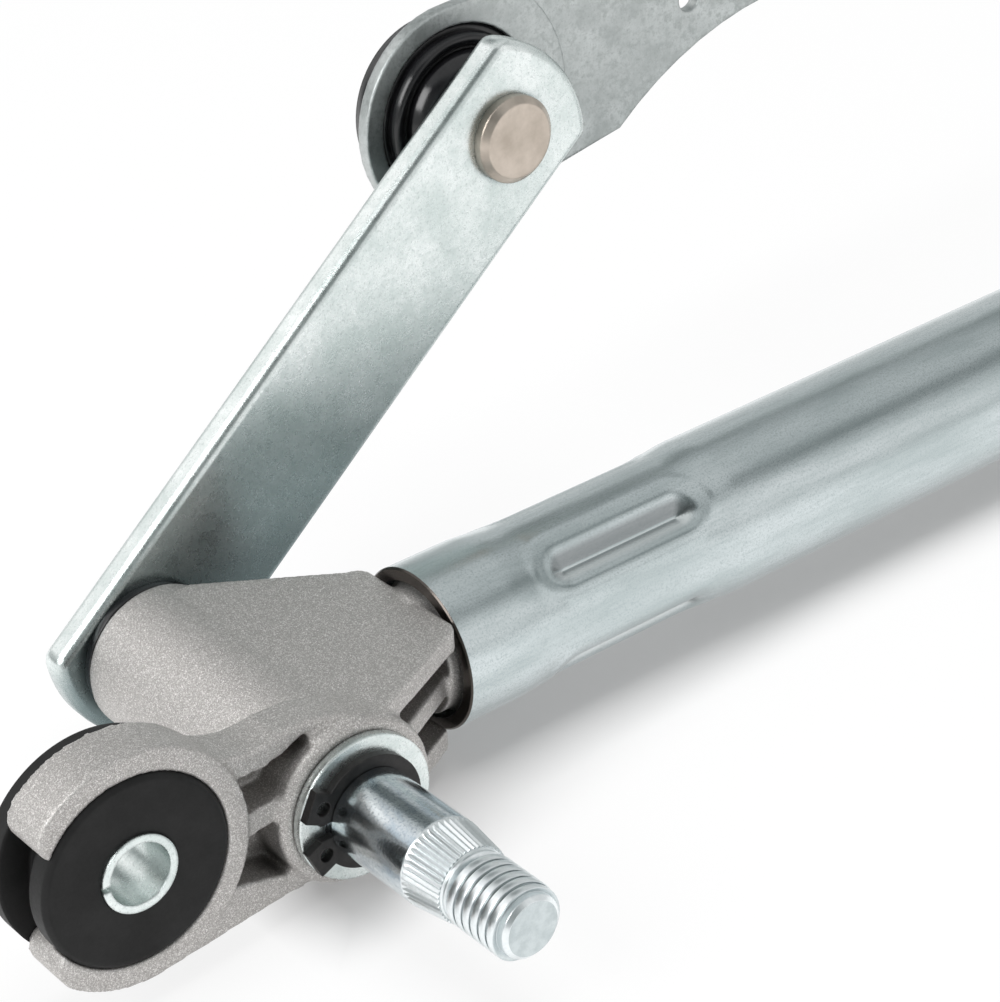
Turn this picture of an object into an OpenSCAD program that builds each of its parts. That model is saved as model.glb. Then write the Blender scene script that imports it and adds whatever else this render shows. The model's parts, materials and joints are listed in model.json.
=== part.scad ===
// Windscreen wiper linkage without its motor: two spindle housings crimped on a tube,
// two cranks, a bowed link rod and a drive rod. X runs along the tube, Z is up,
// the spindles point along -Y. The origin is the thread root of the left spindle.
// All sizes in millimetres.

/* [Layout] */
// Distance between the two spindle axes
spindle_pitch = 520; // [480:5:600]
// Angle of both cranks above the tube when parked
park_angle = 39; // [35:0.5:43]
// Distance from each spindle to its link rod ball joint
crank_reach = 84.6; // [80:0.2:92]
// Distance from the right spindle to the drive rod ball joint
drive_reach = 38; // [36:0.5:40]
// Distance between the two ball joints of the drive rod
drive_length = 230; // [210:5:250]
// Angle of the link rod ends above its ball line
bow_angle = 7; // [6:0.25:9]

/* [Spindles] */
// Diameter of the spindle shafts
spindle_d = 12; // [11.6:0.1:13]
// Diameter over the thread at the wiper arm end
thread_d = 10; // [9:0.5:10]
// Length of the thread
thread_len = 11; // [9:0.5:13]
// Length of the serrated cone behind the thread
cone_len = 9.5; // [8:0.5:11]
// Diameter of the cone at its thin end
cone_tip_d = 10.3; // [10.1:0.1:11]
// Plain shaft between the circlip washer and the cone
shaft_len = 12; // [9:0.5:15]
// Radial running gap between shaft and bush
run_gap = 0.04; // [0.02:0.01:0.08]
// Gap left at each end of a barrel so that the spindle turns
side_gap = 0.2; // [0.15:0.05:0.3]

/* [Housings] */
// Length of the barrel that carries the spindle
barrel_len = 46; // [44:1:52]
// Wall of the bearing bushes
bush_wall = 1.5; // [1.2:0.1:1.8]
// Length of each bearing bush
bush_len = 12; // [9:0.5:14]
// Wall of the barrel around the bushes
barrel_wall = 2.9; // [2.7:0.1:3.1]
// Step of the boss at the front of the barrel
boss_step = 0.9; // [0.7:0.1:1.2]
// Thickness of the plates that join barrel and tube
plate_t = 3; // [2.4:0.1:3.4]
// Thickness of the ribs between the plates
rib_t = 3; // [2.4:0.1:3.4]

/* [Mounting eyes] */
// Distance of the eye from the spindle along the tube
eye_x = 31.4; // [31:0.2:34]
// Height of the eye above the spindle
eye_z = 5.9; // [5:0.1:7]
// Diameter of the front face of the rubber grommet
grommet_d = 25.3; // [24:0.1:26]
// Wall of the eye around the grommet
eye_wall = 3; // [2.6:0.1:3.2]
// Depth of the eye
eye_depth = 7.4; // [7:0.1:8]
// Thickness of the grommet part that sits in the eye
grommet_face = 3; // [2.5:0.1:3.5]
// Thickness of the grommet flange behind the eye
flange_t = 3.5; // [3:0.1:4]
// Outer diameter of the steel sleeve in the grommet
sleeve_d = 10.2; // [9.8:0.1:11]
// Inner diameter of the steel sleeve
sleeve_bore = 8.2; // [8.1:0.1:8.6]
// Half of the opening angle of the eye
mouth_half = 45; // [38:1:50]

/* [Tube] */
// Outer diameter of the tube
tube_d = 23; // [22:0.1:23.6]
// Wall of the tube
tube_wall = 1.8; // [1.5:0.1:2]
// Height of the tube axis above the spindle axes
tube_rise = 1.8; // [1:0.1:2.4]
// Distance of the tube axis behind the circlip washer
tube_depth = 21.6; // [20:0.1:24]
// Distance from each spindle axis to the tube end
tube_start = 24.5; // [24:0.1:27]
// Distance from each spindle axis to the middle of its crimps
crimp_at = 54; // [51:0.5:57]
// Length of each crimp
crimp_len = 31; // [26:0.5:34]
// Depth of each crimp
crimp_depth = 2; // [1.6:0.1:2.4]
// Width of each crimp
crimp_w = 8.4; // [7:0.2:9]
// Angle of the first crimp above the front of the tube
crimp_angle = 49; // [40:1:55]

/* [Cranks] */
// Width of each crank
crank_w = 22.3; // [21:0.1:24]
// Thickness of each crank
crank_t = 4.5; // [4:0.1:5.5]
// Distance from a joint centre to the tip of the crank end
crank_tip = 12.3; // [12:0.1:13.5]
// Radius of the rounded crank ends
crank_end_r = 18; // [16:0.5:20]
// Thickness of the thrust washers in front of the cranks
thrust_t = 1.2; // [1:0.1:1.5]
// Thickness of the washers under the circlips
washer_t = 1.3; // [1:0.1:1.6]
// Width of the washers around the shaft
washer_rim = 3.75; // [3.5:0.05:4]
// Thickness of the circlips
clip_t = 1.2; // [1:0.1:1.4]

/* [Ball joints] */
// Diameter of the joint balls
ball_d = 16; // [15:0.2:16.4]
// Gap between ball and socket
ball_gap = 0.12; // [0.08:0.02:0.2]
// Distance from the crank to the ball centre
ball_off = 11.1; // [10.8:0.1:12]
// Diameter of the riveted stud heads
rivet_d = 12.3; // [11:0.1:13]
// Height of the riveted stud heads
rivet_h = 2.2; // [1.6:0.1:2.6]

/* [Rods] */
// Sheet thickness of the rods
rod_t = 2; // [1.6:0.1:2.2]
// Width of the rods between their heads
rod_w = 10.4; // [9:0.1:12]
// Depth of the rod flanges
rod_flange = 7; // [5:0.5:9]
// Outer diameter of the rod eyes
rod_eye_d = 31.6; // [31:0.1:33]
// Diameter of the hole in each rod eye
rod_hole_d = 26; // [25:0.1:27]
// Length of the widened rod heads
head_len = 58; // [54:1:64]

/* [Motor plate] */
// Height of the motor axis above the spindle axes
motor_z = 42; // [40:0.5:44]
// Length of the motor crank that drives the linkage
motor_throw = 27.2; // [24:0.2:30]
// Thickness of the motor plate
motor_plate_t = 2.5; // [2:0.1:3]
// Radius of the motor plate around the motor axis
motor_plate_r = 36; // [34:0.5:38]
// Diameter of the hole for the motor shaft
shaft_hole_d = 22; // [18:0.5:26]
// Diameter of the circle of motor bolts
bolt_circle = 52; // [48:0.5:56]
// Diameter of the motor bolt holes
bolt_hole_d = 6.6; // [6.2:0.1:7]
// Length of the saddle that holds the plate on the tube
saddle_len = 68; // [60:1:76]

/* [Hidden] */
$fn = 72;
eps = 0.01;
front_len = shaft_len + cone_len;
spindle_r = spindle_d / 2;
bush_r = spindle_r + bush_wall;
barrel_r = bush_r + barrel_wall;
boss_r = barrel_r + boss_step;
plate_z = barrel_r - 0.25;
tube_r = tube_d / 2;
tube_in = tube_r - tube_wall;
boss_front = washer_t + side_gap;
barrel_rear = boss_front + barrel_len;
crank_front = barrel_rear + side_gap + thrust_t;
crank_rear = crank_front + crank_t;
ball_y = crank_rear + ball_off;
ball_r = ball_d / 2;
rod_front = ball_y - 4.3;
head_front = rod_front + 0.6;
web_front = head_front + 0.15;
spigot_r = spindle_r - 1;
shank_r = 4;
groove_r = spindle_r - 0.4;
eye_bore = grommet_d / 2 + 0.06;
eye_r = eye_bore + eye_wall;
eye_front = boss_front - 0.5;
eye_rear = eye_front + eye_depth;
ridge_front = eye_front + grommet_face;
ridge_r = grommet_d / 2 - 2.75;
flange_r = grommet_d / 2 + 1.6;
arm_rear = eye_rear + 0.6;
mouth_jaw = (eye_r - ridge_r) / 2;
dip_x = eye_x * 0.39;
dip_r = eye_x * 0.4;
dip_z = boss_r + 2.1;
hub_r = rod_hole_d / 2 - 0.05;
cap_r = ball_r + 2.3;
crimp_run = crimp_len - 7;
ball_x = crank_reach * cos(park_angle);
ball_z = crank_reach * sin(park_angle);
drive_x = spindle_pitch + drive_reach * cos(park_angle);
drive_z = drive_reach * sin(park_angle);
drive_tilt = asin((motor_z - drive_z) / (drive_length + motor_throw));
motor_x = drive_x - (drive_length + motor_throw) * cos(drive_tilt);
socket_x = drive_x - drive_length * cos(drive_tilt);
socket_z = drive_z + drive_length * sin(drive_tilt);
bow_r = spindle_pitch / 2 / sin(bow_angle);
bow_x = ball_x + spindle_pitch / 2;
bow_z = ball_z - bow_r * cos(bow_angle);
channel_start = head_len - 8;
bow_skip = channel_start / bow_r * 180 / PI;
head_angle = bow_angle - head_len / bow_r * 90 / PI;
third_x = motor_x - motor_plate_r - 6;
third_z = motor_z + motor_plate_r + 6;
third_r = grommet_d / 2 - 2.75;
tab_r = third_r + 6;
far = 3 * tube_depth;

// Everything below is drawn with y = 0 at the front of the circlip washers
module seat() {
    translate([0, front_len, 0])
        children();
}

// Flat outline in x and z, made solid from y0 to y1
module slab(y0, y1) {
    translate([0, y1, 0])
        rotate([90, 0, 0])
            linear_extrude(y1 - y0)
                children();
}

// Cylinder along y
module bar(y0, y1, r) {
    translate([0, y1, 0])
        rotate([90, 0, 0])
            cylinder(h = y1 - y0, r = r);
}

// Outline of radius and y turned about the y axis
module turned() {
    rotate([-90, 0, 0])
        rotate_extrude()
            children();
}

// Cylinder along the tube axis
module tube_bar(x0, x1, r) {
    translate([x0, tube_depth, tube_rise])
        rotate([0, 90, 0])
            cylinder(h = x1 - x0, r = r);
}

// Moves a piece to the right spindle
module right() {
    translate([spindle_pitch, 0, 0])
        children();
}

// Turns a piece of the left end into its right hand twin
module right_hand() {
    right()
        mirror([1, 0, 0])
            children();
}

// One chisel-shaped dent with its bottom line along x, pressed in towards +y
module crimp() {
    slope = crimp_w / 2 / crimp_depth;
    ramp = (crimp_len - crimp_run) / 2 / crimp_depth;
    intersection() {
        rotate([90, 0, 90])
            linear_extrude(2 * crimp_len, center = true)
                polygon([[crimp_depth, 0], [-6, slope * (crimp_depth + 6)], [-6, -slope * (crimp_depth + 6)]]);
        linear_extrude(2 * tube_d, center = true)
            polygon([[-crimp_run / 2, crimp_depth + eps], [crimp_run / 2, crimp_depth + eps],
                [crimp_len / 2 + 6 * ramp, -6], [-crimp_len / 2 - 6 * ramp, -6]]);
    }
}

// The four dents around the tube near its left end, moved inwards by sink
module crimps(sink) {
    for (i = [0 : 3])
        translate([0, tube_depth, tube_rise])
            rotate([i * 90 - crimp_angle, 0, 0])
                translate([crimp_at, sink - tube_r, 0])
                    crimp();
}

module cross_tube() {
    color("silver")
        seat()
            difference() {
                union() {
                    difference() {
                        tube_bar(tube_start, spindle_pitch - tube_start, tube_r);
                        tube_bar(tube_start - 1, spindle_pitch - tube_start + 1, tube_in);
                    }
                    intersection() {
                        tube_bar(tube_start + 1, spindle_pitch - tube_start - 1, tube_in + 0.2);
                        union() {
                            crimps(tube_wall);
                            right_hand()
                                crimps(tube_wall);
                        }
                    }
                }
                crimps(0);
                right_hand()
                    crimps(0);
            }
}

// Outline of the arm from the boss to the mounting eye
module arm_outline() {
    difference() {
        polygon([[-eye_x, eye_z], [-eye_x + 5, eye_z + eye_r - 1.2], [-eye_x + 8.6, eye_z + eye_r - 2.9],
            [3 - dip_x, eye_z + eye_r - 2.9], [3 - dip_x, dip_z + 0.3], [-4.5, dip_z], [0.5, boss_r + 0.6],
            [4.4, boss_r - 0.9], [0, 0], [-2.5, -boss_r + 0.4], [-7, -9.4], [-20, -9.2],
            [-eye_x, eye_z - eye_r]]);
        translate([-dip_x, dip_z + dip_r])
            circle(r = dip_r);
    }
}

// Depth of that arm seen from above, set back behind the face of the boss
module arm_depth() {
    polygon([[-eye_x - eye_r, eye_front + 0.3], [-eye_x + 9, eye_front + 0.3], [-7, boss_front + 1.6],
        [eye_r, boss_front + 1.6], [eye_r, arm_rear], [-eye_x - eye_r, arm_rear]]);
}

// Outline of the hollows in that arm
module arm_pockets() {
    difference() {
        polygon([[-25, 20], [-8, 20], [-4, 8], [-4, -6.2], [-10.6, -6.2], [-21.5, -2.6], [-25, -2.6]]);
        translate([-eye_x, eye_z])
            circle(r = eye_r - 0.2);
        circle(r = boss_r - 0.2);
        translate([-dip_x, dip_z + dip_r])
            circle(r = dip_r + plate_t);
        translate([-20, 2.1])
            square([12, rib_t]);
    }
}

// Outline of the top plate between barrel and tube, seen from above
module top_outline() {
    edge = tube_start - 0.6;
    polygon([[0, boss_front + 1.3], [6, boss_front + 1.3], [edge - 2.4, tube_depth - 11.2],
        [edge, tube_depth - 8.6], [edge, tube_depth + 8.4], [edge - 2.4, tube_depth + 11],
        [5, barrel_rear - 3], [0, barrel_rear - 3]]);
    translate([edge - 2.6, tube_depth - 8.5])
        circle(r = 2.6);
    translate([edge - 2.6, tube_depth + 8.3])
        circle(r = 2.6);
}

// Outline of the middle rib and of the bottom plate
module rib_outline(inset) {
    edge = tube_start - 0.8;
    polygon([[0, boss_front + 2 + inset], [8, boss_front + 2 + inset], [edge, tube_depth - 9.5 + inset],
        [edge, tube_depth + 9.5 - inset], [5, barrel_rear - 5 - inset], [0, barrel_rear - 5 - inset]]);
}

// Open mouth of the mounting eye, leaving its jaws rounded
module mouth() {
    difference() {
        polygon([[0, 0], [-40 * cos(mouth_half), 40 * sin(mouth_half)], [-60, 0],
            [-40 * cos(mouth_half), -40 * sin(mouth_half)]]);
        for (s = [-1, 1])
            rotate(180 + s * mouth_half)
                translate([ridge_r + mouth_jaw, 0])
                    circle(r = mouth_jaw - 0.15);
    }
}

module housing() {
    difference() {
        union() {
            difference() {
                intersection() {
                    slab(boss_front - 1, arm_rear)
                        arm_outline();
                    linear_extrude(4 * eye_r, center = true)
                        arm_depth();
                }
                slab(boss_front - 1, arm_rear - 1.2)
                    arm_pockets();
            }
            translate([0, 0, plate_z - plate_t])
                linear_extrude(plate_t)
                    top_outline();
            translate([0, 0, tube_rise - rib_t / 2 - 1.3])
                linear_extrude(rib_t)
                    rib_outline(1.8);
            translate([0, 0, -plate_z])
                linear_extrude(plate_t)
                    rib_outline(3);
            slab(tube_depth - rib_t / 2, tube_depth + rib_t / 2)
                translate([0, 1 - plate_z])
                    square([tube_start - 0.7, 2 * plate_z - 2]);
            turned()
                polygon([[0, boss_front], [boss_r - 0.7, boss_front], [boss_r, boss_front + 0.7],
                    [boss_r, boss_front + 7], [barrel_r, boss_front + 9.5], [barrel_r, barrel_rear - 0.6],
                    [barrel_r - 0.6, barrel_rear], [0, barrel_rear]]);
            translate([-eye_x, 0, eye_z])
                bar(eye_front, eye_rear, eye_r);
            difference() {
                union() {
                    tube_bar(tube_start - 1.2, tube_start + 3, tube_in - 1);
                    tube_bar(tube_start + 2, crimp_at + crimp_len / 2 + 6, tube_in - 0.1);
                }
                crimps(tube_wall + 0.2);
            }
        }
        translate([-eye_x, 0, eye_z]) {
            bar(eye_front - 1, eye_rear + 1, ridge_r);
            bar(eye_front - 1, ridge_front, eye_bore);
            bar(eye_rear, 40, flange_r + 0.8);
            slab(eye_front - 1, 40)
                mouth();
        }
        bar(0, barrel_rear + 1, bush_r - 0.8);
        bar(0, boss_front + bush_len, bush_r);
        bar(barrel_rear - bush_len, barrel_rear + 1, bush_r);
    }
}

module left_housing() {
    color("lightgray")
        seat()
            housing();
}

module right_housing() {
    color("lightgray")
        seat()
            right_hand()
                housing();
}

module bush(y0) {
    difference() {
        bar(y0, y0 + bush_len - 0.1, bush_r);
        bar(y0 - 1, y0 + bush_len + 1, spindle_r + run_gap);
    }
}

module left_front_bush() {
    color("peru")
        seat()
            bush(boss_front + 0.1);
}

module left_rear_bush() {
    color("peru")
        seat()
            bush(barrel_rear - bush_len);
}

module right_front_bush() {
    color("peru")
        seat()
            right()
                bush(boss_front + 0.1);
}

module right_rear_bush() {
    color("peru")
        seat()
            right()
                bush(barrel_rear - bush_len);
}

// Rubber grommet with its neck in the ridge of the eye
module grommet() {
    translate([-eye_x, 0, eye_z])
        turned()
            polygon([[sleeve_d / 2, eye_front - 0.3], [grommet_d / 2 - 0.6, eye_front - 0.3],
                [grommet_d / 2, eye_front + 0.3], [grommet_d / 2, ridge_front],
                [ridge_r - 0.06, ridge_front], [ridge_r - 0.06, eye_rear], [flange_r, eye_rear],
                [flange_r, eye_rear + flange_t - 0.6], [flange_r - 0.6, eye_rear + flange_t],
                [sleeve_d / 2, eye_rear + flange_t]]);
}

module left_grommet() {
    color("dimgray")
        seat()
            grommet();
}

module right_grommet() {
    color("dimgray")
        seat()
            right_hand()
                grommet();
}

// Rolled steel sleeve with its slit
module sleeve(y0, y1) {
    difference() {
        bar(y0, y1, sleeve_d / 2);
        bar(y0 - 1, y1 + 1, sleeve_bore / 2);
        translate([-sleeve_d, y0 - 1, -0.4])
            cube([sleeve_d, y1 - y0 + 2, 0.8]);
    }
}

module left_sleeve() {
    color("gainsboro")
        seat()
            translate([-eye_x, 0, eye_z])
                sleeve(eye_front - 0.7, eye_rear + flange_t + 0.4);
}

module right_sleeve() {
    color("gainsboro")
        seat()
            right_hand()
                translate([-eye_x, 0, eye_z])
                    sleeve(eye_front - 0.7, eye_rear + flange_t + 0.4);
}

// Outline of the motor plate with the tab for the third mount
module motor_outline() {
    translate([motor_x, motor_z])
        circle(r = motor_plate_r);
    translate([third_x, third_z])
        circle(r = tab_r);
    polygon([[motor_x - 0.92 * motor_plate_r, motor_z + 0.28 * motor_plate_r],
        [motor_x - 0.28 * motor_plate_r, motor_z + 0.92 * motor_plate_r],
        [third_x + 0.7 * tab_r, third_z + 0.7 * tab_r],
        [third_x - 0.7 * tab_r, third_z - 0.7 * tab_r]]);
    translate([motor_x - saddle_len / 2 + 4, tube_rise])
        square([saddle_len - 8, motor_z - 8]);
}

module motor_plate() {
    half = motor_plate_t / 2;
    color("silver")
        seat()
            difference() {
                union() {
                    slab(tube_depth - half, tube_depth + half)
                        motor_outline();
                    slab(tube_depth - half, tube_depth + half + 6)
                        translate([motor_x, motor_z])
                            intersection() {
                                circle(r = motor_plate_r);
                                translate([0, -0.28 * motor_plate_r])
                                    square(2 * motor_plate_r);
                            }
                    intersection() {
                        tube_bar(motor_x - saddle_len / 2, motor_x + saddle_len / 2,
                            tube_r + motor_plate_t);
                        translate([0, 0, tube_rise])
                            cube([spindle_pitch, far, far]);
                    }
                }
                slab(tube_depth + half, far)
                    translate([motor_x, motor_z])
                        circle(r = motor_plate_r - motor_plate_t);
                tube_bar(motor_x - saddle_len, motor_x + saddle_len, tube_r + 0.05);
                translate([motor_x, 0, motor_z])
                    bar(0, far, shaft_hole_d / 2);
                for (a = [90, 210, 330])
                    translate([motor_x + bolt_circle / 2 * cos(a), 0, motor_z + bolt_circle / 2 * sin(a)])
                        bar(0, far, bolt_hole_d / 2);
                translate([third_x, 0, third_z])
                    bar(0, far, third_r);
            }
}

module motor_grommet() {
    half = motor_plate_t / 2;
    color("dimgray")
        seat()
            translate([third_x, tube_depth, third_z])
                turned()
                    polygon([[sleeve_d / 2, -half - 4.5], [grommet_d / 2 - 0.6, -half - 4.5],
                        [grommet_d / 2, -half - 3.9], [grommet_d / 2, -half],
                        [third_r - 0.06, -half], [third_r - 0.06, half], [grommet_d / 2, half],
                        [grommet_d / 2, half + 3.9], [grommet_d / 2 - 0.6, half + 4.5],
                        [sleeve_d / 2, half + 4.5]]);
}

module motor_sleeve() {
    half = motor_plate_t / 2;
    color("gainsboro")
        seat()
            translate([third_x, tube_depth, third_z])
                sleeve(-half - 5, half + 5);
}

// Shaft with thread, serrated cone, circlip groove and riveted rear end
module spindle() {
    tip = -front_len - thread_len;
    turned()
        polygon([[0, tip], [thread_d / 2 - 1, tip], [thread_d / 2, tip + 1], [thread_d / 2, -front_len],
            [cone_tip_d / 2, -front_len], [spindle_r, -shaft_len], [spindle_r, -clip_t - 0.05],
            [groove_r, -clip_t - 0.05], [groove_r, 0], [spindle_r, 0], [spindle_r, crank_front],
            [spigot_r, crank_front], [spigot_r, crank_rear], [spigot_r + 1.6, crank_rear],
            [spigot_r + 1.3, crank_rear + 1.2], [spigot_r - 0.5, crank_rear + 2.2], [0, crank_rear + 2.2]]);
}

module left_spindle() {
    color("gainsboro")
        seat()
            spindle();
}

module right_spindle() {
    color("gainsboro")
        seat()
            right()
                spindle();
}

// Crank along x from the spindle at the origin
module crank_outline() {
    intersection() {
        translate([-crank_tip - 1, -crank_w / 2])
            square([crank_reach + 2 * crank_tip + 2, crank_w]);
        union() {
            translate([crank_end_r - crank_tip, 0])
                circle(r = crank_end_r);
            translate([crank_reach + crank_tip - crank_end_r, 0])
                circle(r = crank_end_r);
            translate([0, -crank_w])
                square([crank_reach, crank_w * 2]);
        }
    }
}

module crank() {
    slab(crank_front, crank_rear)
        rotate(park_angle)
            difference() {
                crank_outline();
                circle(r = spigot_r);
                translate([crank_reach, 0])
                    circle(r = shank_r);
            }
}

module left_crank() {
    color("gainsboro")
        seat()
            crank();
}

module right_crank() {
    color("gainsboro")
        seat()
            right()
                difference() {
                    crank();
                    rotate([0, -park_angle, 0])
                        translate([drive_reach, 0, 0])
                            bar(crank_front - 1, crank_rear + 1, shank_r);
                }
}

// Riveted ball stud on the y axis
module ball_stud() {
    turned()
        union() {
            polygon([[0, crank_front - rivet_h], [rivet_d / 2 - 0.9, crank_front - rivet_h],
                [rivet_d / 2, crank_front - rivet_h + 0.9], [rivet_d / 2, crank_front],
                [shank_r, crank_front], [shank_r, crank_rear], [shank_r + 1.5, crank_rear],
                [shank_r + 1.5, crank_rear + 1.2], [shank_r, crank_rear + 1.8], [shank_r, ball_y], [0, ball_y]]);
            intersection() {
                translate([0, ball_y])
                    circle(r = ball_r);
                translate([0, ball_y - ball_d])
                    square([ball_d, ball_d * 2]);
            }
        }
}

module left_ball_stud() {
    color("tan")
        seat()
            translate([ball_x, 0, ball_z])
                ball_stud();
}

module right_ball_stud() {
    color("tan")
        seat()
            right()
                translate([ball_x, 0, ball_z])
                    ball_stud();
}

module right_drive_stud() {
    color("tan")
        seat()
            translate([drive_x, 0, drive_z])
                ball_stud();
}

module washer() {
    difference() {
        bar(0, washer_t, spindle_r + washer_rim);
        bar(-1, washer_t + 1, spindle_r + 0.1);
    }
}

module left_washer() {
    color("gainsboro")
        seat()
            washer();
}

module right_washer() {
    color("gainsboro")
        seat()
            right()
                washer();
}

// Circlip with two drilled lugs and its gap on the left
module circlip() {
    lug = spindle_r + 1.4;
    slab(-clip_t, 0)
        rotate(178)
            difference() {
                union() {
                    circle(r = spindle_r + 1.6);
                    for (s = [-1, 1])
                        rotate(s * 26)
                            translate([lug - 2.4, -2.1])
                                square([4.6, 4.2]);
                }
                circle(r = groove_r + 0.02);
                for (s = [-1, 1])
                    rotate(s * 26)
                        translate([lug + 0.2, 0])
                            circle(r = 0.95);
                translate([0, -1.1])
                    square([20, 2.2]);
            }
}

module left_circlip() {
    color("dimgray")
        seat()
            circlip();
}

module right_circlip() {
    color("dimgray")
        seat()
            right()
                circlip();
}

module thrust_washer() {
    difference() {
        bar(crank_front - thrust_t, crank_front, barrel_r - 0.5);
        bar(crank_front - thrust_t - 1, crank_front + 1, spindle_r + 0.1);
    }
}

module left_thrust_washer() {
    color("dimgray")
        seat()
            thrust_washer();
}

module right_thrust_washer() {
    color("dimgray")
        seat()
            right()
                thrust_washer();
}

// Outline of a rod head along x, narrowing to the width of the rod
module head_outline() {
    cut_r = 56;
    difference() {
        union() {
            circle(r = rod_eye_d / 2);
            polygon([[0, -rod_eye_d / 2], [head_len - 28, -rod_eye_d / 2 + 1.6], [head_len, -rod_w / 2 - 8],
                [head_len, rod_w / 2 + 8], [head_len - 28, rod_eye_d / 2 - 1.6], [0, rod_eye_d / 2]]);
        }
        for (s = [-1, 1])
            translate([head_len, s * (cut_r + rod_w / 2 + 0.3)])
                circle(r = cut_r);
        translate([head_len * 0.75, 0])
            circle(r = 1.95);
    }
}

// Rod head with its raised pad around the eye
module rod_head() {
    difference() {
        union() {
            slab(rod_front, rod_front + rod_t)
                intersection() {
                    head_outline();
                    circle(r = rod_eye_d / 2 + 3.4);
                }
            slab(head_front, head_front + rod_t)
                head_outline();
        }
        bar(rod_front - 1, head_front + rod_t + 1, rod_hole_d / 2);
        bar(rod_front + rod_t, head_front + rod_t + 1, rod_eye_d / 2 + 2.6);
    }
}

// Cross section of the rods: web in front, two flanges behind
module rod_section() {
    translate([-rod_w / 2, web_front])
        square([rod_w, rod_t]);
    translate([-rod_w / 2, web_front])
        square([rod_t, rod_t + rod_flange]);
    translate([rod_w / 2 - rod_t, web_front])
        square([rod_t, rod_t + rod_flange]);
}

// Strip along the bowed middle line of the link rod
module bow_band(half_w, more) {
    half = bow_angle - bow_skip + more;
    side = bow_r * 1.2;
    translate([bow_x, bow_z])
        intersection() {
            difference() {
                circle(r = bow_r + half_w, $fn = 1440);
                circle(r = bow_r - half_w, $fn = 1440);
            }
            polygon([[0, 0], [side * sin(half), side * cos(half)], [-side * sin(half), side * cos(half)]]);
        }
}

module link_rod() {
    color("lightgray")
        seat()
            union() {
                translate([ball_x, 0, ball_z])
                    rotate([0, -head_angle, 0])
                        rod_head();
                translate([ball_x + spindle_pitch, 0, ball_z])
                    mirror([1, 0, 0])
                        rotate([0, -head_angle, 0])
                            rod_head();
                difference() {
                    slab(web_front, web_front + rod_t + rod_flange)
                        bow_band(rod_w / 2, 0);
                    slab(web_front + rod_t, web_front + rod_t + rod_flange + 1)
                        bow_band(rod_w / 2 - rod_t, 0.5);
                }
            }
}

module drive_rod() {
    color("lightgray")
        seat()
            translate([drive_x, 0, drive_z])
                rotate([0, drive_tilt, 0])
                    mirror([1, 0, 0])
                        union() {
                            rod_head();
                            translate([drive_length, 0, 0])
                                mirror([1, 0, 0])
                                    rod_head();
                            translate([channel_start, 0, 0])
                                rotate([90, 0, 90])
                                    linear_extrude(drive_length - 2 * channel_start)
                                        rotate(90)
                                            mirror([0, 1])
                                                rod_section();
                        }
}

// Plastic socket on the y axis, open towards the crank
module socket() {
    throat = sqrt(pow(ball_r + ball_gap, 2) - 3.6 * 3.6);
    rear = rod_front + rod_t;
    turned()
        difference() {
            union() {
                polygon([[0, rod_front + 0.4], [hub_r - 0.5, rod_front + 0.4], [hub_r, rod_front + 0.9],
                    [hub_r, rear], [hub_r + 1.2, rear], [hub_r + 1.2, rear + 1.2], [hub_r - 1, rear + 2],
                    [hub_r - 1, ball_y + 1], [0, ball_y + 1]]);
                intersection() {
                    translate([0, ball_y])
                        circle(r = cap_r);
                    translate([0, ball_y])
                        square([ball_d, cap_r - 0.4]);
                }
            }
            translate([0, ball_y])
                circle(r = ball_r + ball_gap);
            translate([0, rod_front - 1])
                square([throat, ball_y - rod_front + 1]);
        }
}

// Rubber dust seal between socket and stud neck
module seal() {
    base = rod_front + 0.4;
    turned()
        polygon([[shank_r + 0.6, crank_rear + 2.4], [shank_r + 2, crank_rear + 2.2], [hub_r - 1.5, base - 1.6],
            [hub_r - 1, base - 0.8], [hub_r - 1, base], [hub_r - 2.8, base], [shank_r + 0.6, crank_rear + 3.6]]);
}

module left_link_socket() {
    color("dimgray")
        seat()
            translate([ball_x, 0, ball_z])
                socket();
}

module right_link_socket() {
    color("dimgray")
        seat()
            translate([ball_x + spindle_pitch, 0, ball_z])
                socket();
}

module drive_crank_socket() {
    color("dimgray")
        seat()
            translate([drive_x, 0, drive_z])
                socket();
}

module drive_motor_socket() {
    color("dimgray")
        seat()
            translate([socket_x, 0, socket_z])
                socket();
}

module left_link_seal() {
    color("dimgray")
        seat()
            translate([ball_x, 0, ball_z])
                seal();
}

module right_link_seal() {
    color("dimgray")
        seat()
            translate([ball_x + spindle_pitch, 0, ball_z])
                seal();
}

module drive_crank_seal() {
    color("dimgray")
        seat()
            translate([drive_x, 0, drive_z])
                seal();
}

cross_tube();
left_housing();
right_housing();
left_front_bush();
left_rear_bush();
right_front_bush();
right_rear_bush();
left_grommet();
right_grommet();
left_sleeve();
right_sleeve();
motor_plate();
motor_grommet();
motor_sleeve();
left_spindle();
left_crank();
left_ball_stud();
left_washer();
left_circlip();
left_thrust_washer();
right_spindle();
right_crank();
right_ball_stud();
right_drive_stud();
right_washer();
right_circlip();
right_thrust_washer();
link_rod();
left_link_socket();
right_link_socket();
left_link_seal();
right_link_seal();
drive_rod();
drive_crank_socket();
drive_crank_seal();
drive_motor_socket();
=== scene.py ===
import json
import math
import bmesh
import bpy
import numpy as np
from mathutils import Matrix, Vector


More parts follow.
